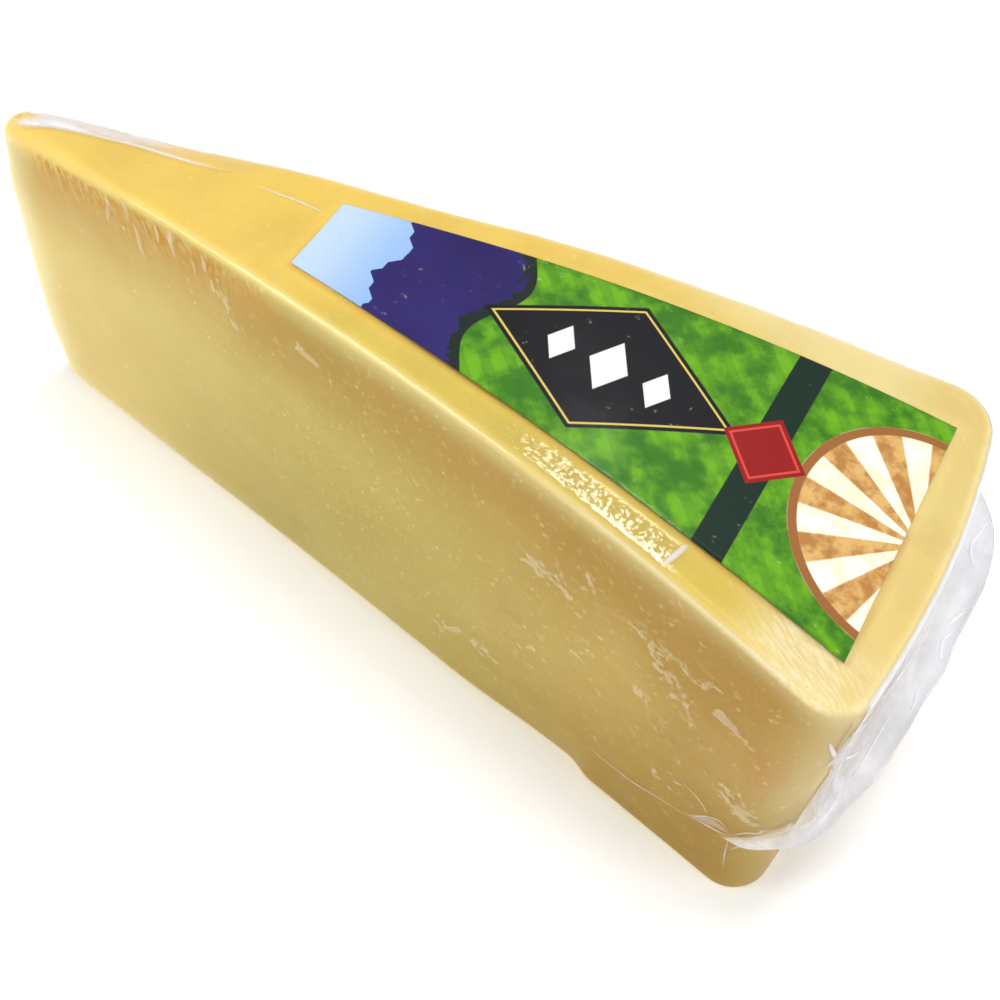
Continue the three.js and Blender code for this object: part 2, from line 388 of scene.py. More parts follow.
def wedge(drawn_in):
    """The closed wedge drawn in all round: points, quads, triangles."""
    rows = wall(drawn_in)
    top, base = rungs(rows[-1]), rungs(rows[0])
    top[..., 2] = top_height(top[..., 0], top[..., 1]) - drawn_in
    points = np.concatenate([rows.reshape(-1, 3), top.reshape(-1, 3), base.reshape(-1, 3)])
    ring = np.arange(rows.shape[0] * AROUND).reshape(-1, AROUND)
    ahead = np.roll(ring, -1, axis=1)
    sides = np.stack([ring[:-1], ahead[:-1], ahead[1:], ring[1:]], axis=-1).reshape(-1, 4)
    top_quads, top_tips = ladder_faces(ring[-1], ring.size)
    base_quads, base_tips = ladder_faces(ring[0], ring.size + top[..., 0].size)
    quads = np.concatenate([sides, top_quads, base_quads[:, ::-1]])
    return points, quads, np.concatenate([top_tips, base_tips[:, ::-1]])


def face_normals(points, quads, triangles):
    """Outward direction at each point: the sum of the crossed diagonals of its faces."""
    total = np.zeros_like(points)
    for faces in (quads, triangles):
        corner = points[faces]
        if faces.shape[1] == 4:
            facing = np.cross(corner[:, 2] - corner[:, 0], corner[:, 3] - corner[:, 1])
        else:
            facing = np.cross(corner[:, 1] - corner[:, 0], corner[:, 2] - corner[:, 0])
        for k in range(faces.shape[1]):
            np.add.at(total, faces[:, k], facing)
    return total / np.maximum(np.linalg.norm(total, axis=1)[:, None], 1e-12)


WALL_ROWS = 2 * EDGE_ROWS + FACE_ROWS - 1
print("wall rows:", WALL_ROWS, " rungs:", HALF - 1, "of", BARS, "steps")

# %% [markdown]
# ## The cheese
#
# The knife leaves the cut faces of a real wedge a little uneven, and the vacuum presses
# them further. The cheese is therefore the wedge drawn in by a quarter of a millimetre,
# which leaves room for the film, and moved along its normals by two ripples: a broad one
# for the cut and a finer one for the curd.
#
# Each vertex also gets a few numbers for the material. They say how far it is below the
# top edge, where darker golden streaks lie under the gathered film, and where light and
# shade are painted: a painted shade under the top edge, beside the label and towards the
# foot, painted light on the edges and a painted sheen of crumpled film. Each is a product
# of soft steps in millimetres: along the plan, along the run, up the wall, or down from the top.

# %% The cheese mesh
CHEESE_IN = 0.25
CUT_WAVE, CUT_WAVE_DEPTH = 38.0, 0.15
CURD_WAVE, CURD_WAVE_DEPTH = 9.0, 0.03
CHEESE_UNDER_LABEL = 0.3
NOT_ON_WALL = 999.0


def unevenness(points):
    """Ripples of the cut faces over (x, y + z), which runs on unbroken over the edges."""
    second = points[:, 1] + points[:, 2]
    broad = CUT_WAVE_DEPTH * ripple(points[:, 0], second, CUT_WAVE, 11)
    fine = CURD_WAVE_DEPTH * ripple(points[:, 0], second, CURD_WAVE, 12)
    return (broad + fine) * smooth(points[:, 2], 0.0, 6.0)


def path_distance(a, b, path):
    """Distance from points (a, b) to a line of straight stretches."""
    nearest = np.full(np.shape(a), np.inf)
    for (a0, b0), (a1, b1) in zip(path[:-1], path[1:]):
        length = max((a1 - a0) ** 2 + (b1 - b0) ** 2, 1e-9)
        share = np.clip(((a - a0) * (a1 - a0) + (b - b0) * (b1 - b0)) / length, 0.0, 1.0)
        away = np.hypot(a - a0 - share * (a1 - a0), b - b0 - share * (b1 - b0))
        nearest = np.minimum(nearest, away)
    return nearest


def label_half_width(share):
    """Grows evenly with the share of the label's length, from the narrow end to the wide."""
    return LABEL_START_HALF_WIDTH + (LABEL_END_HALF_WIDTH - LABEL_START_HALF_WIDTH) * share


def label_distance(x, y):
    """Signed distance in plan to the label: the largest of the distances to its sides."""
    half = label_half_width((x - LABEL_START) / LABEL_LENGTH)
    side = np.abs(y - LABEL_MIDDLE) - half
    return np.maximum(side, np.maximum(LABEL_START - x, x - LABEL_END))


def vertex_runs(count):
    """The run of each wall point, and a mark for the points of the top and the base."""
    runs = np.full(count, NOT_ON_WALL)
    runs[: WALL_ROWS * AROUND] = np.tile(RUN, WALL_ROWS)
    return runs


# %% [markdown]
# Now the surface is made, drawn in a little to leave room for the film. Each vertex is
# described by where it is: its run, how far below the top, and which way it faces.

# %% The cheese and its numbers
points, quads, triangles = wedge(CHEESE_IN)
normals = face_normals(points, quads, triangles)
x, y, z = points.T
run = vertex_runs(len(points))
below_top = top_height(x, y) - z
upright = smooth(1.0 - np.abs(normals[:, 2]), 0.35, 0.9)
on_top = 1.0 - upright
on_near_face = smooth(-normals[:, 1], 0.3, 0.8) * upright
under_label = fade(label_distance(x, y), 0.0, 4.0) * (below_top < 1.0)
lift = unevenness(points) + CHEESE_UNDER_LABEL * under_label
cheese = mesh_object("cheese_body", points + normals * lift[:, None], quads, triangles)

# Painted shade: a darker band on the walls under the top edge.
under_edge_shade_mask = smooth(below_top, 1.5, 7.0) * fade(below_top, 9.0, 34.0)
streaky = smooth(run, -225.0, -216.0) * fade(run, -170.0, -140.0) * on_near_face
streaky *= smooth(below_top, 1.8, 3.0) * fade(below_top, 4.0, 16.0)
turned = 1.0 - normals[:, 2]
# Painted light: paler colour along the top edge, on the rind side of it, at the near corner, at
# the far end of the top, at the tip and along the foot towards the tip.
painted_edge_light = 0.3 * bell(below_top, 0.5, 1.2) * smooth(turned, 0.04, 0.2) * smooth(x, 10.0, 90.0)
painted_edge_light += 0.4 * bell(below_top, 0.0, 4.2) * smooth(turned, 0.04, 0.5) * smooth(x, 70.0, 140.0)
painted_edge_light += 0.3 * bell(run, -36.5, 5.5) * upright
far_end = smooth(y, 17.0, 25.0) * smooth(x, 150.0, 175.0) * fade(x, 198.0, 210.0)
painted_edge_light += 0.6 * far_end * on_top
painted_edge_light += bell(x, TIP_X, 5.5) * smooth(upright, 0.0, 0.6)
painted_edge_light += 0.5 * bell(z, 0.0, 5.0) * fade(x, 60.0, 130.0)
brown_spot = np.exp(-((run + 43.0) ** 2 / 16.0 + (z - 50.0) ** 2 / 60.0))
# Painted sheen: pale crinkle lines of the crumpled film on the top near the near rind corner.
painted_wrinkle_sheen = smooth(x, 194.0, 206.0) * (1.0 - 0.5 * smooth(x, 211.0, 217.0))
cheese_numbers = {
    "upright": upright,
    "under_edge_shade": under_edge_shade_mask * upright,
    "streaky": streaky,
    "painted_edge_light": np.clip(painted_edge_light, 0.0, 1.0),
    "brown_spot": brown_spot * on_near_face,
    # Painted shadow: a thin reddish-brown line along the label's near edge.
    "label_edge_shadow": bell(label_distance(x, y), 0.3, 0.6) * (y < 0.0) * on_top,
    "near_strip": smooth(-y, 11.0, 19.0) * fade(x, 190.0, 208.0) * on_top,
    "foot_shade": fade(z, 6.0, 52.0) * smooth(x, 30.0, 100.0) * upright,
    "painted_wrinkle_sheen": painted_wrinkle_sheen * smooth(-y, 20.0, 30.0) * on_top,
}
for name, values in cheese_numbers.items():
    set_attribute(cheese, name, values)

# %% [markdown]
# ## A few words for building materials
#
# A material is a tree of nodes. Built by hand it takes many lines, so one helper adds a
# node with all its settings and inputs. The output of a node is wrapped as a value, and the
# signs +, -, *, / and ** between values add Math nodes. A pattern then reads as the formula
# that it is. Colours are written as they look on a screen and turned to linear light.

# %% Material helpers
def colour(red, green, blue):
    """Screen values of 0 to 255 to linear light: ((c + 0.055) / 1.055)^2.4."""
    screen = np.array([red, green, blue]) / 255.0
    linear = np.where(screen <= 0.04045, screen / 12.92, ((screen + 0.055) / 1.055) ** 2.4)
    return (*(float(c) for c in linear), 1.0)


class Value:
    """The output of a node; arithmetic with it adds Math nodes to the same tree."""

    def __init__(self, node, output=0):
        self.socket = node.outputs[output]
        self.tree = node.id_data

    def __add__(self, other):
        return calc("ADD", self, other)

    def __radd__(self, other):
        return calc("ADD", other, self)

    def __sub__(self, other):
        return calc("SUBTRACT", self, other)

    def __mul__(self, other):
        return calc("MULTIPLY", self, other)

    def __truediv__(self, other):
        return calc("DIVIDE", self, other)

    def __pow__(self, other):
        return calc("POWER", self, other)

    def __abs__(self):
        return calc("ABSOLUTE", self)


def add_node(tree, kind, inputs=(), **settings):
    """Adds a node; inputs gives a number, colour or value by the input's name or place."""
    node = tree.nodes.new("ShaderNode" + kind)
    for name, setting in settings.items():
        setattr(node, name, setting)
    for name, given in dict(inputs).items():
        if isinstance(given, Value):
            tree.links.new(given.socket, node.inputs[name])
        else:
            node.inputs[name].default_value = given
    return node


def calc(operation, *given):
    """One Math node on numbers and values, of which at least one is a value."""
    tree = next(one.tree for one in given if isinstance(one, Value))
    return Value(add_node(tree, "Math", enumerate(given), operation=operation))


# %% [markdown]
# The next helpers are the patterns: a soft step, a mix of two colours, noise, and places
# to draw them at.

# %% Patterns and colours
def ease(value, low, high, start=0.0, end=1.0):
    """A smooth step from start at low to end at high."""
    inputs = enumerate((value, low, high, start, end))
    return Value(add_node(value.tree, "MapRange", inputs, interpolation_type="SMOOTHSTEP"))


def blend(share, below, above, kind="MIX"):
    """Two colours mixed by share; kind MULTIPLY darkens the one below by the one above."""
    inputs = {0: share, 6: below, 7: above}
    return Value(add_node(share.tree, "Mix", inputs, data_type="RGBA", blend_type=kind), 2)


def noise(place, scale, detail=2.0, roughness=0.5, distortion=0.0, output="Fac"):
    """Noise of about 0.2 to 0.8 with its middle at 0.5; output Color gives three at once."""
    inputs = {"Vector": place, "Scale": scale, "Detail": detail}
    inputs |= {"Roughness": roughness, "Distortion": distortion}
    return Value(add_node(place.tree, "TexNoise", inputs), output)


def axis(place, number):
    """One of the three numbers of a place."""
    return Value(add_node(place.tree, "SeparateXYZ", {0: place}), number)


def attribute(tree, name):
    """A number stored on the vertices."""
    return Value(add_node(tree, "Attribute", attribute_name=name), "Fac")


def object_place(tree, stretch=(1.0, 1.0, 1.0), turn=0.0, about="Z"):
    """Object coordinates, stretched along their axes, then turned by degrees about one."""
    source = Value(add_node(tree, "TexCoord"), "Object")
    turns = [math.radians(turn) * (name == about) for name in "XYZ"]
    inputs = {"Vector": source, "Scale": stretch, "Rotation": turns}
    return Value(add_node(tree, "Mapping", inputs, vector_type="TEXTURE"))


def bump(height, distance, strength=1.0, normal=None):
    """The normal of a relief; distance is how deep a height of 1 is, in metres."""
    inputs = {"Height": height, "Distance": distance, "Strength": strength}
    if normal:
        inputs["Normal"] = normal
    return Value(add_node(height.tree, "Bump", inputs), "Normal")


def new_material(name):
    """An empty material and its tree."""
    material = bpy.data.materials.new(name)
    material.use_nodes = True
    material.node_tree.nodes.clear()
    return material, material.node_tree


def set_surface(material, shader):
    """Links a shader to the output of a material."""
    tree = material.node_tree
    add_node(tree, "OutputMaterial", {"Surface": Value(shader)})
    print(f"{material.name}: {len(tree.nodes)} nodes")


# %% [markdown]
# ## The finish of the cheese
#
# Hard cheese is a pale, dense, slightly see-through solid. Light goes a few millimetres
# in and comes out warmer, which is what subsurface scattering does, and that makes the
# edges glow. It gets darker and more golden towards the rind, where it has dried longest,
# and it holds small white grains, where amino acids have crystallised.
#
# The colour is a ramp from tip to rind, mottled by noise. The walls are darker than the
# top and fall from tip to middle: partly the cheese's own tone, partly painted shade.
# Attributes add a painted shade under the top edge, darker golden streaks under the
# gathered film, painted light on the edges, a painted shadow beside the label and a
# painted sheen of crumpled film. A Voronoi pattern adds the grains.

# %% Cheese material
def cheese_material():
    """Subsurface scattering under a colour made of layers, each laid on by its own share."""
    material, tree = new_material("hard_cheese")
    place = object_place(tree)
    along = axis(place, 0)
    to_middle = ease(along, -0.110, -0.010)
    to_rind = ease(along, -0.010, 0.095)

    top = blend(to_rind, colour(226, 194, 94), colour(222, 200, 131))
    top = blend(attribute(tree, "near_strip"), top, colour(212, 190, 94))
    # The walls take darker colours than the top, falling from tip to middle: partly the cheese's
    # own tone, partly painted shade.
    side = blend(to_middle, colour(202, 179, 105), colour(170, 153, 76))
    side = blend(to_rind, side, colour(155, 120, 49))
    # Painted shade under the top edge.
    side = blend(attribute(tree, "under_edge_shade") * 0.7, side, colour(156, 120, 40))
    base = blend(attribute(tree, "upright"), top, side)

    mottled = ease(noise(place, 60.0, 4.0, 0.6), 0.36, 0.66)
    cloudy = ease(noise(place, 17.0), 0.42, 0.62)
    slanting = object_place(tree, (1.0, 1.0, 3.2), -16.0, "Y")
    streaks = ease(noise(slanting, 1000.0, 3.0, 0.6, 0.8), 0.44, 0.54, 0.2, 1.0)
    drawn_out = object_place(tree, (9.0, 1.0, 1.0), -29.0)
    # Pale lines that paint the sheen of crumpled film.
    crinkle_sheen = ease(noise(drawn_out, 1700.0, 2.0, 0.6), 0.36, 0.66, 0.15, 0.5)
    cells = Value(add_node(tree, "TexVoronoi", {"Vector": place, "Scale": 420.0}), "Distance")
    grains = ease(cells, 0.1, 0.26, 1.0, 0.0) * ease(noise(place, 260.0), 0.52, 0.62)
    specks = ease(noise(place, 760.0, 2.0, 0.7), 0.57, 0.72, 0.0, 0.22)
    # Each layer is a share and its colour, from the lowest up.
    layers = [
        (mottled * 0.16, colour(172, 136, 58)),
        (cloudy * 0.14, colour(228, 206, 126)),
        (streaks * attribute(tree, "streaky"), colour(176, 126, 28)),
        (attribute(tree, "brown_spot") * ease(streaks, 0.0, 1.0, 0.2, 0.5), colour(160, 98, 30)),
        # Painted shadow beside the label.
        (attribute(tree, "label_edge_shadow") * 0.4, colour(196, 130, 66)),
        # Painted light on the edges and ends.
        (attribute(tree, "painted_edge_light") * 0.8, colour(228, 218, 168)),
        # Painted sheen of crumpled film.
        (crinkle_sheen * attribute(tree, "painted_wrinkle_sheen"), colour(244, 240, 216)),
        (grains * ease(attribute(tree, "upright"), 0.0, 1.0, 0.14, 0.22), colour(244, 230, 184)),
        (specks * to_middle, colour(228, 206, 140)),
    ]
    for share, tone in layers:
        base = blend(share, base, tone)
    foot = blend(to_rind, colour(238, 238, 240), colour(212, 198, 106))
    base = blend(attribute(tree, "foot_shade"), base, foot, "MULTIPLY")

    curd = bump(noise(place, 170.0), 0.0003, 0.4)
    set_surface(material, add_node(tree, "BsdfPrincipled", {
        "Base Color": base,
        "Normal": bump(noise(place, 900.0, 3.0, 0.6), 0.00006, 0.3, curd),
        "Roughness": 0.55,
        "Specular IOR Level": 0.1,
        "Subsurface Weight": 1.0,
        "Subsurface Radius": (1.0, 0.72, 0.35),
        "Subsurface Scale": 0.002,
    }))
    return material


cheese.data.materials.append(cheese_material())
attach(cheese, "root")
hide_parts("cheese_wedge")

# %% [markdown]
# ## The label
#
# The label is a thin sheet that follows the crowned top. It is a closed slab: one grid for
# the printed side, one for the back, and a strip of faces round the rim. Its UV map is in
# shares of the length and width, so the print can be drawn in millimetres.

# %% The label mesh
LABEL_ALONG, LABEL_ACROSS = 150, 56


def label_grid(lift):
    """Points (along, across) on the crowned top, raised by lift."""
    share = np.linspace(0.0, 1.0, LABEL_ALONG + 1)[:, None]
    side = np.linspace(-1.0, 1.0, LABEL_ACROSS + 1)[None, :]
    x = LABEL_START + LABEL_LENGTH * share + 0.0 * side
    y = LABEL_MIDDLE + label_half_width(share) * side
    return np.stack([x, y, top_height(x, y) + lift], axis=-1)


def slab(upper, lower):
    """A closed sheet from two grids of the same size: faces of both, and of the rim."""
    count = upper.shape[0] * upper.shape[1]
    grid = np.arange(count).reshape(upper.shape[:2])
    face = np.stack([grid[:-1, :-1], grid[1:, :-1], grid[1:, 1:], grid[:-1, 1:]], axis=-1)
    face = face.reshape(-1, 4)
    rim = np.concatenate([grid[:, 0], grid[-1, 1:], grid[-2::-1, -1], grid[0, -2:0:-1]])
    ahead = np.roll(rim, -1)
    edge = np.stack([rim + count, ahead + count, ahead, rim], axis=-1)
    points = np.concatenate([upper.reshape(-1, 3), lower.reshape(-1, 3)])
    return points, np.concatenate([face, face[:, ::-1] + count, edge])


def set_uv(piece, per_vertex):
    """Copies a (u, v) of each vertex to the corners of the faces round it."""
    layer = piece.data.uv_layers.new(name="UVMap")
    corner = np.empty(len(piece.data.loops), np.int32)
    piece.data.loops.foreach_get("vertex_index", corner)
    layer.data.foreach_set("uv", np.asarray(per_vertex, np.float32)[corner].ravel())


upper = label_grid(LABEL_GAP + LABEL_THICKNESS)
label_points, label_faces = slab(upper, label_grid(LABEL_GAP))
label = mesh_object("label_sheet", label_points, label_faces)
label_uv = np.stack([
    (label_points[:, 0] - LABEL_START) / LABEL_LENGTH,
    (label_points[:, 1] - LABEL_MIDDLE) / LABEL_WIDTH + 0.5,
], axis=-1)
set_uv(label, label_uv)
print("label:", round(LABEL_LENGTH, 1), "by", round(LABEL_WIDTH, 1), "mm")

# %% [markdown]
# ## The print on the label
#
# A print is flat fields of colour and simple shapes, one over the other. Each shape is
# drawn from its signed distance: below zero inside, above zero outside. A soft step over
# a tenth of a millimetre turns that into a crisp edge at any size.
#
# The design is a plain one of its own: sky, hills, a meadow, a dark lozenge plate with a
# gold line and three small white lozenges, a belt with a red one on it, and half a cheese
# wheel cut in wedges.

# %% Label material
SHARP = 0.12


def inside(distance):
    """1 where a signed distance in millimetres is below zero, 0 outside."""
    return ease(distance, -SHARP, SHARP, 1.0, 0.0)


def lozenge(s, t, middle, half_length, half_width):
    """Distance to a diamond: (|s| / length + |t| / width - 1) times the smaller half."""
    total = abs(s - middle) / half_length + abs(t) / half_width - 1.0
    return total * min(half_length, half_width)


def label_material():
    """Shapes laid one over the other; s runs along the label and t across, in millimetres."""
    material, tree = new_material("label_print")
    place = object_place(tree)
    uv = Value(add_node(tree, "UVMap", uv_map="UVMap"))
    s = axis(uv, 0) * LABEL_LENGTH
    t = (axis(uv, 1) - 0.5) * LABEL_WIDTH

    sky = blend(ease(s, 0.0, 18.0), colour(186, 206, 240), colour(142, 178, 232))
    hills = blend(noise(place, 60.0), colour(24, 14, 70), colour(50, 38, 112))
    peaks = calc("PINGPONG", t + 3.0, 6.5) * 0.55 + calc("PINGPONG", t * 1.3, 2.2) * 0.4
    grass = ease(noise(place, 170.0, 4.0, 0.6), 0.35, 0.65)
    meadow = blend(grass, colour(52, 112, 14), colour(104, 166, 20))
    stripes = ease(calc("SINE", (s + t) * 1.1), -0.2, 0.4)
    meadow = blend(stripes * 0.25, meadow, colour(36, 96, 24))
    meadow_line = 37.0 + calc("SINE", t * 0.24) * 2.6
    wood_line = meadow_line - ease(noise(place, 420.0), 0.3, 0.7, 1.2, 3.4)

    plate = lozenge(s, t, 58.0, 24.0, 15.0)
    from_end = s - (LABEL_LENGTH + 3.0)
    wheel = calc("SQRT", from_end**2.0 + t**2.0) - 22.5
    cuts = ease(calc("SINE", calc("ARCTAN2", t, from_end) * 12.0), -0.15, 0.15)
    crumb = noise(place, 260.0, 4.0, 0.65)
    pale = blend(ease(crumb, 0.4, 0.6), colour(240, 226, 196), colour(248, 242, 228))
    brown = blend(ease(crumb, 0.38, 0.62), colour(176, 122, 62), colour(214, 172, 104))
    seal = lozenge(s, t, 87.0, 7.6, 7.6)

    # Each shape is a signed distance and its colour, from the lowest layer up.
    shapes = [
        (13.0 + peaks - s, hills),
        (wood_line - s, colour(20, 34, 26)),
        (meadow_line - s, meadow),
        (plate, colour(10, 10, 18)),
        (abs(plate + 1.1) - 0.22, colour(214, 190, 96)),
        (lozenge(s, t, 49.0, 2.6, 4.16), colour(238, 236, 226)),
        (lozenge(s, t, 58.0, 3.6, 5.76), colour(238, 236, 226)),
        (lozenge(s, t, 67.0, 2.6, 4.16), colour(238, 236, 226)),
        (abs(s - 87.0) - 2.9, colour(8, 38, 26)),
        (wheel, blend(cuts, pale, brown)),
        (abs(wheel + 0.8) - 0.8, colour(150, 96, 48)),
        (seal, colour(142, 14, 16)),
        (abs(seal + 1.3) - 0.3, colour(206, 70, 60)),
    ]
    paint = sky
    for distance, tone in shapes:
        paint = blend(inside(distance), paint, tone)
    set_surface(material, add_node(tree, "BsdfPrincipled", {
        "Base Color": paint,
        "Normal": bump(noise(place, 700.0), 0.00004, 0.5),
        "Roughness": 0.5,
        "Specular IOR Level": 0.2,
    }))
    return material


label.data.materials.append(label_material())
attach(label, "root")
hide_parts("label")

# %% [markdown]
# ## The clinging film
#
# The film of a vacuum pack is drawn tight over cheese and label alike. It is the same
# wedge again, at its full size, lifted over the label. Small forms make it read as film:
# it bridges the step round the label, it is crinkled where it was gathered near the tip,
# and it is pebbled where it lies on the grainy top.
#
# Here and there it has let go of the cheese and leaves milky patches. They follow chains
# of short strokes on the near face, given by run along the wall and height.

# %% The film skin
FILM_OVER_LABEL = LABEL_GAP + LABEL_THICKNESS + 0.1
BRIDGE = 1.6
LOOSE_STROKES = [
    ([(-169.8, 72.5), (-165.2, 64.2)], 1.5),
    ([(-149.0, 71.7), (-144.2, 70.8)], 0.9),
    ([(-112.6, 17.7), (-106.3, 19.8), (-100.7, 20.1)], 1.5),
    ([(-94.3, 59.5), (-89.0, 60.1), (-85.5, 60.5)], 1.8),
    ([(-82.9, 65.9), (-79.5, 65.5)], 1.3),
    ([(-74.2, 64.0), (-64.5, 62.5), (-55.3, 63.7)], 1.2),
    ([(-67.8, 59.5), (-58.9, 52.2), (-56.8, 50.2)], 1.6),
    ([(-55.3, 57.2), (-52.5, 57.1), (-48.8, 55.4)], 1.2),
    ([(-47.3, 36.7), (-42.6, 33.9)], 2.2),
    ([(-67.9, 46.1), (-64.6, 44.5)], 0.9),
    ([(-83.9, 45.4), (-81.9, 44.0)], 0.8),
    ([(-90.7, 34.3), (-88.0, 33.6)], 0.8),
    ([(-59.6, 25.8), (-58.1, 24.5)], 1.2),
]
BRIDGE_LINE = np.array([
    [24.0, -3.4], [31.9, -2.2], [37.1, -0.5], [45.4, 0.7], [57.1, 2.1], [67.4, 2.8], [76.1, 3.8],
    [86.0, 9.0], [110.0, 16.0],
])


def film_attributes(piece, milky_and_highlight, loose=0.0, grainy=0.0, tint=0.0, shade=0.0, present=0.0):
    """The numbers that the film material reads, each kept between 0 and 1."""
    named = {"milky_and_highlight": milky_and_highlight, "loose": loose, "grainy": grainy}
    named |= {"tint": tint, "shade": shade, "present": present}
    for name, values in named.items():
        set_attribute(piece, name, np.clip(values + 0.0 * milky_and_highlight, 0.0, 1.0))


# %% [markdown]
# The skin lies on the outer surface of the wedge. Soft steps give the bridge round the
# label, the fine gathers near the tip and the patches that have let go.

# %% The skin and its numbers
points, quads, triangles = wedge(0.0)
normals = face_normals(points, quads, triangles)
x, y, z = points.T
run = vertex_runs(len(points))
below_top = top_height(x, y) - z
facing_up = smooth(normals[:, 2], 0.75, 0.98)
lift = unevenness(points)

over_label = fade(label_distance(x, y), 0.0, BRIDGE)
lift += facing_up * over_label * FILM_OVER_LABEL
gathered = smooth(run, -224.0, -214.0) * fade(run, -178.0, -156.0) * (run < NOT_ON_WALL)
gathered *= smooth(below_top, 1.5, 4.0) * fade(below_top, 6.0, 15.0)
crooked = run + 0.9 * ripple(run, z, 6.0, 23)
lift += 0.07 * gathered * ripple(crooked, z * 0.3, 2.0, 22)

# Beyond a line along the top near the tip, the film bridges over to the far side.
beyond = y - np.interp(x, BRIDGE_LINE[:, 0], BRIDGE_LINE[:, 1])
bridge = smooth(beyond, 0.0, 0.7) * smooth(x, 26.0, 34.0) * fade(x, 62.0, 92.0)
bridge *= fade(below_top, 2.6, 5.0)
bridge *= 0.8 + 0.3 * ripple(0.08 * x, y, 1.8, 24)
points += normals * lift[:, None]
skin = mesh_object("film_skin", points, quads, triangles)

# Loose patches: along the strokes, scattered over the near face and faintly on the label.
on_label = fade(label_distance(x, y), -0.6, 0.0)
scattered = smooth(run, -150.0, -90.0) * fade(run, -52.0, -40.0) * smooth(z, 6.0, 14.0)
loose = np.maximum(0.24 * scattered, 0.12 * on_label * facing_up)
for path, width in LOOSE_STROKES:
    loose = np.maximum(loose, bell(path_distance(run, z, path), 0.0, 2.1 * width))

# Milky film: the bridge, its edge and the rind it has left; and a painted highlight along the near
# ridge.
bridge *= 0.3 + 0.5 * fade(x, 42.0, 66.0)
bridge_edge = 0.6 * bell(beyond, 0.3, 0.5) * smooth(x, 27.0, 36.0) * fade(x, 66.0, 82.0)
# Painted highlight: a pale line along the near ridge, laid on as milky film.
ridge_highlight = 0.36 * bell(below_top, 1.0, 0.4) * (run < -33.0)
ridge_highlight *= smooth(x, 160.0, 172.0) * fade(x, 204.0, 214.0)
on_rind = smooth(run, -33.0, -30.0) * fade(run, 36.0, 44.0)
peeled = 0.8 * on_rind * smooth(below_top, 0.3, 1.2) * fade(below_top, 10.0, 24.0)
milky_and_highlight = np.max([bridge_edge, bridge, ridge_highlight, peeled], axis=0)

# Gloss: pebbled on the near strip as far as a fold across it, less on walls, by the label
# and past the fold, and none where the film has left the rind.
near_strip = (y < LABEL_MIDDLE) * 1.0
pebbly = smooth(x, 142.0, 162.0) * (1.0 - 0.7 * smooth(x, 182.0, 186.0)) * near_strip
grainy = pebbly * (1.0 - on_label) * facing_up
past_fold = smooth(x, 182.0, 186.0) * near_strip * smooth(normals[:, 2], 0.5, 0.85)
present = (1.0 - on_rind * smooth(below_top, 0.8, 2.2)) * (1.0 - 0.92 * past_fold)
present *= 1.0 - 0.85 * fade(label_distance(x, y), 1.2, 2.6)
present *= 1.0 - 0.6 * smooth(1.0 - np.abs(normals[:, 2]), 0.35, 0.9)
film_attributes(skin, milky_and_highlight=milky_and_highlight, loose=loose, grainy=grainy, present=present)

# %% [markdown]
# ## The finish of the film
#
# Clear film shows what is behind it and mirrors a little at every angle, more at a glance.
# A mix of a Transparent and a Glossy shader does that without the noise of real
# refraction. The share of gloss is 0.03 + 0.97 f^5, where f goes from 0 face on to 1 at
# the edge. It is the same on both sides of a face, unlike a Fresnel node's. An attribute
# takes the gloss away where the film has left the cheese.
#
# Pebbled film lies in several layers and mirrors up to three times as much. Each pebble is
# a small mirror tilted its own way, a cell of a Voronoi pattern, so single ones flash. It
# is a material of its own, as the pattern takes time to render.
#
# Where the film is milky, a pale diffuse and translucent shader is mixed over it; the same
# share paints a highlight along the near ridge. Torn noise breaks the loose patches up.

# %% Film material
PEBBLES_PER_METRE, PEBBLE_TILT = 2300.0, 0.17
PEBBLE_WAVER = 0.0003


def vector_step(operation, first, second):
    """One Vector Math node; SCALE takes a number as its second value."""
    inputs = {0: first, "Scale" if operation == "SCALE" else 1: second}
    return Value(add_node(first.tree, "VectorMath", inputs, operation=operation))


def pebble_normal(place, normal):
    """The normal plus a random tilt for each cell of a Voronoi pattern, of about a pebble."""
    waver = vector_step("SCALE", noise(place, PEBBLES_PER_METRE, output="Color"), PEBBLE_WAVER)
    inputs = {"Vector": vector_step("ADD", place, waver), "Scale": PEBBLES_PER_METRE}
    cells = Value(add_node(place.tree, "TexVoronoi", inputs), "Color")
    tilt = vector_step("SUBTRACT", cells, (0.5, 0.5, 0.5))
    tilt = vector_step("SCALE", tilt, attribute(place.tree, "grainy") * PEBBLE_TILT)
    return vector_step("NORMALIZE", vector_step("ADD", normal, tilt), (0.0, 0.0, 0.0))


def mixed(tree, share, first, second):
    """Two shaders mixed by share."""
    return add_node(tree, "MixShader", {0: share, 1: Value(first), 2: Value(second)})


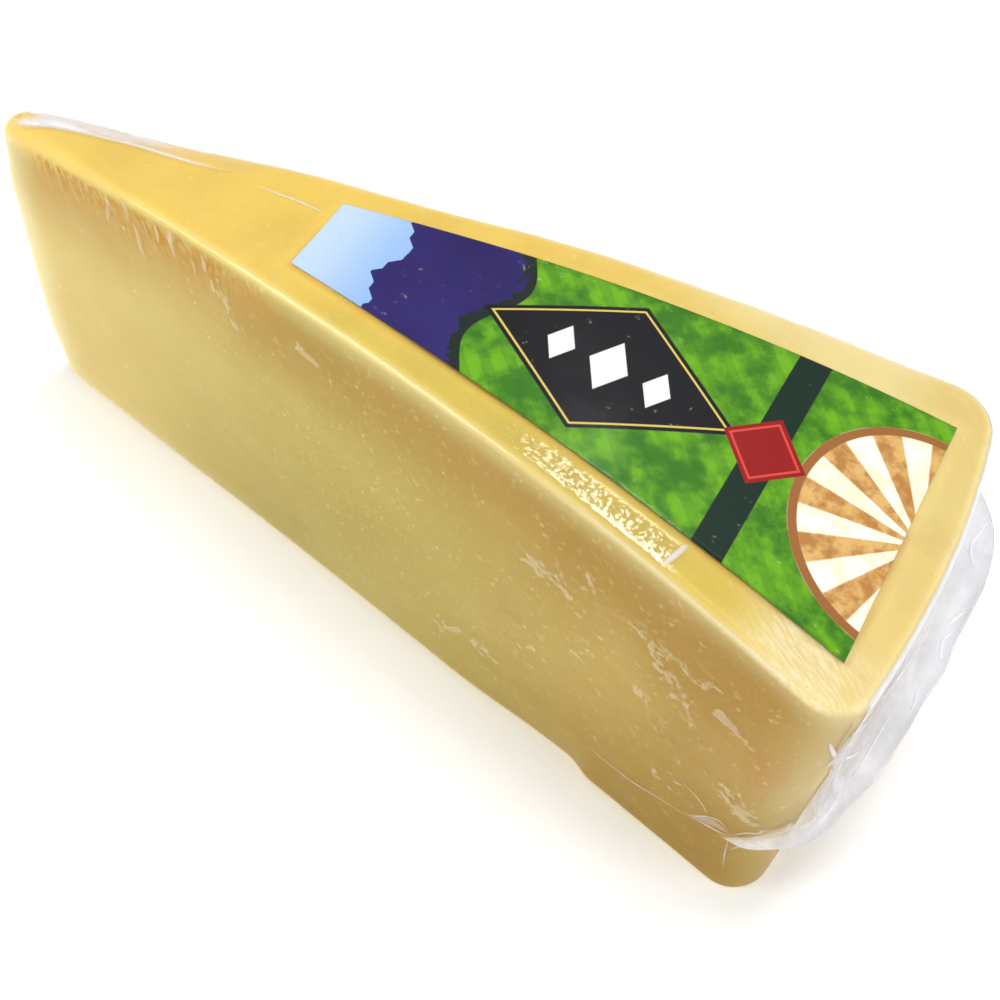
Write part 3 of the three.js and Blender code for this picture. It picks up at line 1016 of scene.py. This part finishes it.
def film_material(name, gloss_roughness, let_through, pebbled=False):
    """Clear film; let_through is the share of its milky parts that pass light on."""
    material, tree = new_material(name)
    place = object_place(tree)
    relief = bump(noise(place, 130.0), 0.0004, 0.3)
    if pebbled:
        relief = pebble_normal(place, relief)

    facing = Value(add_node(tree, "LayerWeight", {"Blend": 0.5, "Normal": relief}), "Facing")
    mirrored = calc("MULTIPLY_ADD", facing**5.0, 0.97, 0.03) * attribute(tree, "present")
    mirrored = mirrored * calc("MULTIPLY_ADD", attribute(tree, "grainy"), 2.0, 1.0)
    clear = add_node(tree, "BsdfTransparent")
    gloss = add_node(tree, "BsdfGlossy", {"Roughness": gloss_roughness, "Normal": relief})
    tight = mixed(tree, mirrored, clear, gloss)

    torn = noise(place, 400.0, 4.0, 0.66)
    centred = calc("MULTIPLY_ADD", torn, 6.0, -3.55)
    loose = ease(calc("MULTIPLY_ADD", attribute(tree, "loose"), 1.25, centred), 0.42, 1.1)
    milk_and_highlight = attribute(tree, "milky_and_highlight") * ease(torn, 0.3, 0.7, 0.9, 1.06)
    share = calc("MINIMUM", calc("MAXIMUM", loose * 0.3, milk_and_highlight), 1.0)

    thick = ease(attribute(tree, "milky_and_highlight"), 0.1, 0.5)
    body = blend(thick, colour(240, 226, 184), colour(239, 243, 254))
    # Brown tint: partly the cheese seen through the layers of a fold, partly painted shade in its
    # crease.
    body = blend(attribute(tree, "tint"), body, colour(176, 128, 78))
    body = blend(attribute(tree, "shade"), body, colour(172, 177, 185))
    inputs = {"Base Color": body, "Roughness": 0.3, "Normal": relief}
    cloud = add_node(tree, "BsdfPrincipled", inputs)
    through = add_node(tree, "BsdfTranslucent", {"Color": colour(246, 244, 244)})
    pale = mixed(tree, let_through, cloud, through)
    set_surface(material, mixed(tree, share, tight, pale))
    return material


tight_film = film_material("tight_film", 0.13, 0.08)
skin.data.materials.append(tight_film)
skin.data.materials.append(film_material("pebbled_film", 0.1, 0.08, pebbled=True))
on_pebbles = np.concatenate([grainy[quads].max(axis=1), grainy[triangles].max(axis=1)]) > 0.0
skin.data.polygons.foreach_set("material_index", on_pebbles.astype(np.int32))
print("pebbled faces of the film:", on_pebbles.sum())
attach(skin, "root")

# %% [markdown]
# ## The sealed flange
#
# The bag was longer than the cheese. Behind the rind its two halves leave the cheese,
# curve outwards and meet in a flat sealed lip, which runs round the rind at mid height.
# On the near face it flattens into a pinched seam.
#
# The stations give, at a run along the wall, the height of the seam, the reach of the lip,
# and how far up and down the loose film goes before it clings again. At each run the
# section is a pair of Bezier curves from the cheese to the rim of the lip, so the film
# tents as real film does. Crumpled layers lie over each other there, so it looks milky.

# %% The flange mesh
#     run   seam  reach  up    down
FILM_STATIONS = np.array([
    [-78.0, 15.9, 0.5, 0.8, 0.8],
    [-66.0, 16.3, 0.6, 1.0, 1.0],
    [-58.0, 17.8, 0.7, 1.2, 1.2],
    [-51.0, 20.4, 1.1, 1.5, 1.5],
    [-47.0, 22.4, 1.2, 1.5, 1.5],
    [-43.0, 24.6, 0.9, 1.0, 1.0],
    [-40.0, 28.4, 2.4, 1.5, 4.5],
    [-37.0, 32.2, 3.4, 1.5, 9.0],
    [-35.2, 33.0, 4.0, 2.0, 12.0],
    [-33.6, 33.6, 4.3, 34.0, 14.0],
    [-31.0, 34.6, 5.0, 36.0, 20.0],
    [-28.0, 35.6, 5.4, 36.0, 26.0],
    [-20.0, 38.0, 6.8, 34.0, 29.0],
    [0.0, 40.0, 8.2, 32.0, 30.0],
    [24.0, 44.5, 10.4, 27.0, 25.0],
    [33.0, 50.0, 9.6, 22.0, 20.0],
    [41.0, 54.0, 7.4, 13.0, 13.0],
    [50.0, 50.0, 3.4, 6.0, 6.0],
    [72.0, 32.0, 1.0, 2.0, 2.0],
])
FLANGE_DROOP, FLANGE_WAVE, FLANGE_WAVE_LENGTH = 1.6, 0.6, 19.0
LIP_THICKNESS = 0.3
SEAL_STEP, SHEET_STEPS, BACK_STEPS = 0.4, 44, 9
SHEET_LENGTH = 30.0
SEAL_RUNS = np.arange(FILM_STATIONS[0, 0], FILM_STATIONS[-1, 0] + SEAL_STEP, SEAL_STEP)


def eased_station(column):
    """A column of the stations at every run, its corners rounded by a short moving mean."""
    plain = np.interp(SEAL_RUNS, FILM_STATIONS[:, 0], FILM_STATIONS[:, column])
    blur = np.hanning(7) / np.hanning(7).sum()
    return np.convolve(np.pad(plain, 3, mode="edge"), blur, "valid")


STATION_TABLE = [eased_station(column) for column in (1, 2, 3, 4)]


# %% [markdown]
# A section leaves the cheese steeply and flattens towards the lip, as a curve with one
# bend does. The upper and the lower sheet and a short back against the cheese close it.

# %% The section of the flange
def bezier(start, bend, end, t):
    """A curve from start to end that leaves and arrives towards the bend."""
    return start * (1 - t) ** 3 + bend * 3 * t * (1 - t) + end * t**3


def film_section(run, t):
    """Distance out, and heights of the upper and lower sheet, at share t of the way to the rim."""
    seam, reach, up, down = (np.interp(run, SEAL_RUNS, column) for column in STATION_TABLE)
    standing = smooth(reach, 1.0, 6.0)
    wave = FLANGE_WAVE * np.sin(2.0 * np.pi * run / FLANGE_WAVE_LENGTH)
    lip = seam + (wave - FLANGE_DROOP) * standing
    rim = reach + 0.3 * standing * ripple(run, 0.0 * run, 16.0, 31)
    out = bezier(0.06, np.minimum(0.7, reach * 0.35), rim, t)
    pleats = 0.2 * smooth(t, 0.1, 0.8) * standing * ripple(0.35 * run, 9.0 * t, 4.0, 32)
    upper = bezier(seam + up, seam + 0.9, lip + LIP_THICKNESS / 2.0, t) + pleats
    lower = bezier(seam - down, seam - 0.9, lip - LIP_THICKNESS / 2.0, t) + pleats
    return out, upper, lower


def wall_point(run, height, out):
    """A point of the wall by run round the outline, height and distance out."""
    plan = np.stack([np.interp(run, RUN, PLAN[:, k]) for k in (0, 1)], axis=-1)
    facing = np.stack([np.interp(run, RUN, OUTWARD[:, k]) for k in (0, 1)], axis=-1)
    facing /= np.linalg.norm(facing, axis=-1)[..., None]
    flat = bow(plan + facing * np.asarray(out)[..., None])
    return np.concatenate([flat, np.broadcast_to(height, flat.shape[:-1])[..., None]], axis=-1)


def facing_out(points, quads, triangles):
    """Turns the faces round if the volume they enclose comes out negative."""
    corners = points[np.concatenate([quads[:, :3], quads[:, [0, 2, 3]], triangles])]
    volume = (np.cross(corners[:, 0], corners[:, 1]) * corners[:, 2]).sum() / 6.0
    if volume < 0:
        quads, triangles = quads[:, ::-1], triangles[:, ::-1]
    return points, quads, triangles


def tube(grid):
    """Faces of a row of closed sections, with a fan over each end."""
    rows, round_it = grid.shape[:2]
    index = np.arange(rows * round_it).reshape(rows, round_it)
    ahead = np.roll(index, -1, axis=1)
    quads = np.stack([index[:-1], index[1:], ahead[1:], ahead[:-1]], axis=-1).reshape(-1, 4)
    ends = np.stack([grid[0].mean(axis=0), grid[-1].mean(axis=0)])
    first = np.stack([index[0], ahead[0], np.full(round_it, index.size)], axis=-1)
    last = np.stack([ahead[-1], index[-1], np.full(round_it, index.size + 1)], axis=-1)
    points = np.concatenate([grid.reshape(-1, 3), ends])
    return facing_out(points, quads, np.concatenate([first, last]))


def seal_sections():
    """Run, distance out, height and share t of every point, section by section."""
    run = SEAL_RUNS[:, None]
    t = np.linspace(0.0, 1.0, SHEET_STEPS)[None, :]
    out, upper, lower = film_section(run, t)
    back = np.linspace(0.0, 1.0, BACK_STEPS)[None, 1:-1]
    against = lower[:, :1] * (1.0 - back) + upper[:, :1] * back
    height = np.concatenate([upper, lower[:, ::-1], against], axis=1)
    far_out = np.concatenate([out, out[:, ::-1], 0.0 * against - 0.1], axis=1)
    share = np.concatenate([t, t[:, ::-1], 0.0 * back], axis=1) + 0.0 * run
    return run + 0.0 * share, far_out, height, share


# %% [markdown]
# The sections are joined to one closed tube. How milky, grey or brown it is depends on the
# run and on the share of the way out.

# %% The flange and its look
seal_run, seal_out, seal_height, seal_share = seal_sections()
seal = mesh_object("film_seal", *tube(wall_point(seal_run, seal_height, seal_out)))

# The film is milky where it stands off the cheese, and in the ribbon it gathers into at
# the near corner. It is streaked, and fades at the far end and where it leaves the cheese.
upper_sheet = np.arange(seal_run.shape[1])[None, :] < SHEET_STEPS
crease_run = -31.0 - 3.0 * smooth(seal_height, 50.0, 61.0)
loose_side = smooth(seal_run, crease_run - 0.7, crease_run + 0.5)
ribbon = smooth(seal_out, 0.3, 1.2) * (seal_height < 36.0) * smooth(seal_run, -45.0, -42.5)
covering = np.maximum(loose_side, ribbon) * (seal_out > 0.0)
streaked = 1.0 + 0.14 * ripple(0.1 * seal_run, 9.0 * seal_share, 2.6, 33)
past_corner = smooth(seal_run, -37.0, -29.0)
fading = (0.85 + 0.15 * past_corner) * (1.0 - 0.6 * smooth(seal_run, 44.0, 56.0))
fading *= 1.0 - past_corner * fade(seal_share, 0.0, 0.14)
milky_seal = covering * streaked * fading * np.where(upper_sheet, 0.7, 0.5)

# It is greyer towards the rim, on the far half, and in streaks.
rim_shade = 0.35 * smooth(seal_share, 0.9, 1.0) + 0.16 * smooth(seal_share, 0.45, 0.95)
rim_shade += 0.32 * smooth(seal_run, 0.0, 30.0) * smooth(seal_share, 0.3, 0.9)
shade_seal = past_corner * (rim_shade + 0.12 * ripple(0.16 * seal_run, 8.0 * seal_share, 3.2, 34))


def tube_values(values):
    """Values of the sections, with two more for the middle points of the ends."""
    return np.append(values.ravel(), [0.0, 0.0])


film_attributes(
    seal,
    milky_and_highlight=tube_values(milky_seal),
    grainy=0.15,
    tint=tube_values(0.14 * (1.0 - past_corner)),
    shade=tube_values(shade_seal),
    present=tube_values(covering * past_corner * smooth(seal_out, 0.8, 2.4)),
)
seal.data.materials.append(film_material("flange_film", 0.2, 0.4))
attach(seal, "root")
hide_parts("film_wrap")

# %% [markdown]
# ## Folds in the film
#
# Film that is drawn round a corner has some to spare, and it lies in thin pinched folds.
# Each fold is a small closed tent along a smooth line: its width and height swell from
# nothing and shrink to nothing again. The lines are given by run and height on the wall,
# by x and y on the top, and by run and distance from the upper edge on the flange.
#
# A fold of many layers is milky. A fold that touches the cheese takes a brown tint: partly the
# cheese seen through the layers, partly painted shade in the crease.

# %% The folds
#          half width, height, milkiness, tint, points of the line
WALL_FOLDS = [
    (0.26, 0.16, 0.50, 0.3,
     [(-73.0, 15.8), (-68.4, 16.0), (-63.3, 16.4), (-58.5, 17.8), (-51.0, 20.1)]),
    (0.22, 0.16, 0.60, 0.2,
     [(-51.8, 19.9), (-50.0, 22.0), (-48.0, 25.2), (-45.3, 26.9), (-43.0, 24.9)]),
    (0.24, 0.16, 0.60, 0.2, [(-51.5, 19.8), (-47.8, 22.0), (-45.5, 23.0), (-43.0, 24.4)]),
    (1.30, 0.10, 0.34, 0.2, [(-50.8, 20.8), (-48.6, 23.0), (-46.4, 24.8), (-43.6, 25.2)]),
    (0.22, 0.16, 0.50, 0.2, [(-43.0, 24.6), (-42.4, 19.6), (-42.0, 16.2), (-41.2, 11.5)]),
    (0.24, 0.16, 0.50, 0.2, [(-41.9, 19.4), (-40.7, 23.0), (-40.0, 24.6), (-38.0, 24.4)]),
    (0.24, 0.18, 0.60, 0.1,
     [(-42.9, 25.0), (-40.8, 29.2), (-38.9, 30.4), (-38.0, 32.2), (-34.0, 32.0)]),
    (0.25, 0.15, 0.45, 0, [(-56.6, 27.4), (-54.4, 28.6)]),
    (0.25, 0.15, 0.35, 0,
     [(-55.4, 30.0), (-52.2, 29.0), (-50.5, 28.2), (-48.8, 26.8), (-48.0, 25.2)]),
    (0.60, 0.22, 0.80, 0, [(-34.0, 56.6), (-32.8, 59.0), (-31.8, 60.6)]),
    (0.46, 0.20, 0.70, 0, [(-32.6, 58.6), (-34.6, 63.0), (-36.6, 67.6)]),
    (0.30, 0.12, 0.60, 1,
     [(-32.4, 30.4), (-31.4, 36.0), (-30.8, 45.5), (-31.4, 51.2), (-32.7, 58.6)]),
    (0.30, 0.12, 0.55, 1, [(-33.0, 60.0), (-34.0, 63.0), (-34.0, 70.0), (-34.2, 73.4)]),
    (0.70, 0.12, 0.30, 0.1, [(-198.6, 77.1), (-198.2, 74.5), (-199.0, 71.6), (-199.6, 68.8)]),
    (0.60, 0.12, 0.26, 0.1, [(-193.9, 79.0), (-193.0, 76.2), (-193.0, 73.4)]),
    (0.80, 0.12, 0.30, 0.1, [(-191.5, 74.7), (-190.6, 71.6), (-190.6, 68.6), (-189.6, 65.6)]),
    (0.60, 0.12, 0.26, 0.1, [(-185.3, 78.5), (-184.6, 75.6), (-184.8, 73.0)]),
    (0.80, 0.14, 0.36, 0.0, [(-179.9, 79.6), (-180.9, 76.4), (-180.2, 72.4)]),
    (0.70, 0.12, 0.30, 0.1, [(-172.3, 78.6), (-172.0, 76.4), (-172.4, 74.2)]),
    (0.50, 0.10, 0.22, 0.1, [(-207.6, 75.4), (-206.2, 72.8), (-205.8, 70.2)]),
    (0.50, 0.10, 0.22, 0.1, [(-188.8, 76.9), (-187.8, 74.8), (-187.6, 72.6)]),
    (0.50, 0.10, 0.22, 0.1, [(-176.0, 76.4), (-175.2, 74.0), (-175.2, 71.6)]),
]
TOP_FOLDS = [
    (0.36, 0.12, 0.50, 0, [(83.0, 3.5), (87.0, 3.3), (92.0, 3.5), (98.0, 3.3), (103.0, 3.0)]),
    (0.66, 0.12, 0.62, 0, [(182.9, -30.8), (183.9, -27.6), (185.0, -23.8)]),
]
SHEET_FOLDS = [
    (1.70, 0.20, 0.55, 0,
     [(-29.8, 3.0), (-28.0, 8.0), (-25.0, 18.0), (-24.8, 22.5), (-26.0, 25.0)]),
    (0.36, 0.25, 0.90, 0, [(-29.5, 2.0), (-25.6, 8.7), (-20.8, 15.3), (-17.2, 19.0)]),
    (0.32, 0.14, 0.60, 1,
     [(-29.6, 1.2), (-28.4, 2.0), (-24.4, 3.8), (-17.0, 7.4), (-8.0, 12.0), (-2.8, 14.2)]),
    (0.36, 0.30, 0.90, 0, [(33.2, 29.0), (30.0, 24.3), (27.6, 24.9), (26.0, 28.0)]),
    (0.50, 0.35, 0.70, 0, [(14.4, 28.5), (11.2, 27.0), (8.0, 27.6), (6.4, 28.8)]),
    (0.40, 0.30, 0.70, 0, [(19.2, 29.2), (16.0, 27.2), (14.0, 26.4)]),
    (0.40, 0.30, 0.70, 0, [(0.8, 26.6), (-2.0, 27.8), (-5.2, 28.4)]),
    (0.50, 0.22, 0.90, 0, [(11.6, 20.7), (0.0, 18.0), (-10.0, 12.0), (-14.5, 5.0)]),
    (0.50, 0.22, 0.90, 0, [(-4.0, 23.4), (-14.0, 22.5), (-22.4, 22.8)]),
    (0.34, 0.22, 0.80, 0, [(-42.4, 14.0), (-41.0, 20.0), (-39.6, 24.3), (-37.8, 29.2)]),
    (0.30, 0.25, 1.00, 0, [(-28.6, 24.0), (-27.4, 24.6)]),
]
TENT_SIDES, TENT_STEP = 12, 0.3


# %% [markdown]
# A tent is a lens-shaped section carried along a smooth line. The same rule works on the
# wall, on the top and on the flange: only the rule for a point of the surface differs.

# %% Tents along a line
def smooth_line(knots):
    """A smooth line through the knots: cubic pieces whose slope follows the neighbours."""
    knots = np.array(knots, float)
    padded = np.concatenate([2 * knots[:1] - knots[1:2], knots, 2 * knots[-1:] - knots[-2:-1]])
    length = np.linalg.norm(np.diff(knots, axis=0), axis=1).sum()
    place = np.linspace(0.0, len(knots) - 1.0, max(int(length / TENT_STEP), 10))
    piece = np.minimum(place.astype(int), len(knots) - 2)
    s = (place - piece)[:, None]
    p0, p1, p2, p3 = (padded[piece + k] for k in range(4))
    curve = 2 * p1 + (p2 - p0) * s + (2 * p0 - 5 * p1 + 4 * p2 - p3) * s**2
    return (curve + (3 * p1 - p0 - 3 * p2 + p3) * s**3) / 2.0


def top_point(x, y, lift):
    """A point over the crowned top."""
    return np.stack([x, y, top_height(x, y) + lift], axis=-1)


def sheet_point(run, distance, lift):
    """A point over the upper sheet of the flange, lifted outwards and upwards alike."""
    out, upper, _ = film_section(run, np.clip(distance / SHEET_LENGTH, 0.0, 1.0))
    return wall_point(run, upper + 0.7 * lift, out + 0.7 * lift)


def tent(half_width, height, line, surface):
    """Closed lens sections across a line on a surface, swelling as sin(pi share)^0.45."""
    line = smooth_line(line)
    along = np.gradient(line, axis=0)
    across = np.stack([-along[:, 1], along[:, 0]], axis=-1)
    across /= np.linalg.norm(across, axis=1)[:, None]
    swell = np.sin(np.pi * np.linspace(0.02, 0.98, len(line)))[:, None] ** 0.45
    turn = np.linspace(0.0, 2.0 * np.pi, TENT_SIDES, endpoint=False)[None, :]
    side = half_width * np.cos(turn) * swell
    lift = np.where(np.sin(turn) > 0, height * swell, 0.1) * np.sin(turn)
    return surface(line[:, :1] + across[:, :1] * side, line[:, 1:] + across[:, 1:] * side, lift)


def joined(parts):
    """Several closed meshes as one."""
    starts = np.cumsum([0] + [len(part[0]) for part in parts])
    return [np.concatenate([part[k] + (start if k else 0) for part, start in zip(parts, starts)])
            for k in range(3)]


def crest_share(rows):
    """How near the crest each point of a tent is: 0 at its feet, 1 along its middle."""
    turn = np.linspace(0.0, 2.0 * np.pi, TENT_SIDES, endpoint=False)
    ends = np.sin(np.pi * np.linspace(0.0, 1.0, rows))[:, None] ** 0.5
    return np.append((np.maximum(np.sin(turn), 0.0)[None, :] * ends).ravel(), [0.0, 0.0])


# %% [markdown]
# The folds are many and small, so they become one piece. Each keeps its own milkiness,
# which is strongest along its crest.

# %% All folds as one piece
fold_parts, fold_milk, fold_tint = [], [], []
fold_tables = (WALL_FOLDS, wall_point), (TOP_FOLDS, top_point), (SHEET_FOLDS, sheet_point)
for table, surface in fold_tables:
    for half_width, height, milkiness, tint, line in table:
        grid = tent(half_width, height, line, surface)
        fold_parts.append(tube(grid))
        fold_milk.append(milkiness * crest_share(len(grid)))
        fold_tint.append(np.full(grid[..., 0].size + 2, float(tint)))
folds = mesh_object("film_folds", *joined(fold_parts))
fold_milk = np.concatenate(fold_milk)
film_attributes(folds, milky_and_highlight=fold_milk, tint=np.concatenate(fold_tint))
folds.data.materials.append(tight_film)
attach(folds, "root")

# %% [markdown]
# ## Floor, light and camera
#
# A plain white floor, a soft light overhead, one in front and a weaker one beside the
# rind, which makes the flange glow. A small lamp stands where the camera sees it mirrored
# in the strip beside the label, so the pebbled film sparkles there. The surroundings are
# white near the horizon and dimmer high up, so the flat top doesn't mirror them and the
# print keeps its darks, while the edges of the film catch the white. The camera stands
# above the near face, slightly turned about its own axis.

# %% Stage
CAMERA_AZIMUTH, CAMERA_ELEVATION, CAMERA_ROLL = 24.3375, 53.8738, 6.9179
CAMERA_DISTANCE, CAMERA_TARGET = 307.435, (131.755, 20.893, 0.0)
FOCAL_SHARE, SENSOR = 1.32856, 36.0


def camera_axes():
    """Right, up and back of the camera: back from the angles, then turned by the roll."""
    a, e, roll = (math.radians(v) for v in (CAMERA_AZIMUTH, CAMERA_ELEVATION, CAMERA_ROLL))
    back = np.array([math.sin(a) * math.cos(e), -math.cos(a) * math.cos(e), math.sin(e)])
    level = np.array([math.cos(a), math.sin(a), 0.0])
    upright = np.cross(back, level)
    right = math.cos(roll) * level + math.sin(roll) * upright
    return right, np.cross(back, right), back


def place_camera():
    """A camera from its axes, and from its distance back from the target."""
    right, up, back = camera_axes()
    data = bpy.data.cameras.new("camera")
    data.sensor_width = SENSOR
    data.lens = FOCAL_SHARE * SENSOR
    camera = add_object("camera", data)
    matrix = np.eye(4)
    matrix[:3, :3] = np.column_stack([right, up, back])
    matrix[:3, 3] = to_frame(np.array(CAMERA_TARGET) + CAMERA_DISTANCE * back)
    camera.matrix_world = Matrix(matrix.tolist())
    bpy.context.scene.camera = camera
    print("camera at", matrix[:3, 3].round(4))


# %% [markdown]
# The lights are soft squares that face the wedge. The floor and the surroundings are part
# of the stage and not of the wedge.

# %% Lights, floor and surroundings
def soft_light(name, place, size, power):
    """A square area light that faces the middle of the wedge."""
    data = bpy.data.lights.new(name, "AREA")
    data.shape = "SQUARE"
    data.size = size
    data.energy = power
    light = add_object(name, data)
    light.location = place
    aim = Vector((0.0, 0.0, 0.04)) - Vector(place)
    light.rotation_mode = "QUATERNION"
    light.rotation_quaternion = aim.to_track_quat("-Z", "Y")


def floor_plane(half_size=3.0, below=0.0002):
    """A wide square of plain white, which glows a little so that it stays pale."""
    data = bpy.data.meshes.new("floor")
    corners = np.array([[-1, -1], [1, -1], [1, 1], [-1, 1]]) * half_size
    data.from_pydata([(a, b, -below) for a, b in corners], [], [(0, 1, 2, 3)])
    material, tree = new_material("floor_white")
    set_surface(material, add_node(tree, "BsdfPrincipled", {
        "Base Color": colour(248, 248, 248),
        "Roughness": 0.9,
        "Emission Color": colour(255, 255, 255),
        "Emission Strength": 0.18,
    }))
    data.materials.append(material)
    floor = add_object("floor", data)


def surroundings(low, high):
    """White all round, of strength low at the horizon and below, and high overhead."""
    world = bpy.data.worlds.new("white")
    world.use_nodes = True
    tree = world.node_tree
    upwards = axis(Value(add_node(tree, "TexCoord"), "Generated"), 2)
    background = tree.nodes["Background"]
    background.inputs["Color"].default_value = colour(255, 255, 255)
    tree.links.new(ease(upwards, 0.2, 0.7, low, high).socket, background.inputs["Strength"])
    bpy.context.scene.world = world


place_camera()
floor_plane()
surroundings(1.0, 0.3)
soft_light("overhead", (0.05, 0.10, 0.9), 0.36, 4.6)
soft_light("front_left", (-0.70, -0.75, 0.45), 0.45, 5.3)
soft_light("right", (0.80, 0.05, 0.22), 0.30, 1.8)
soft_light("glint", to_frame((69.3, 369.6, 770.6)), 0.12, 0.3)
scene = bpy.context.scene
scene.view_settings.view_transform = "Standard"
scene.cycles.use_denoising = True
scene.cycles.transparent_max_bounces = 24
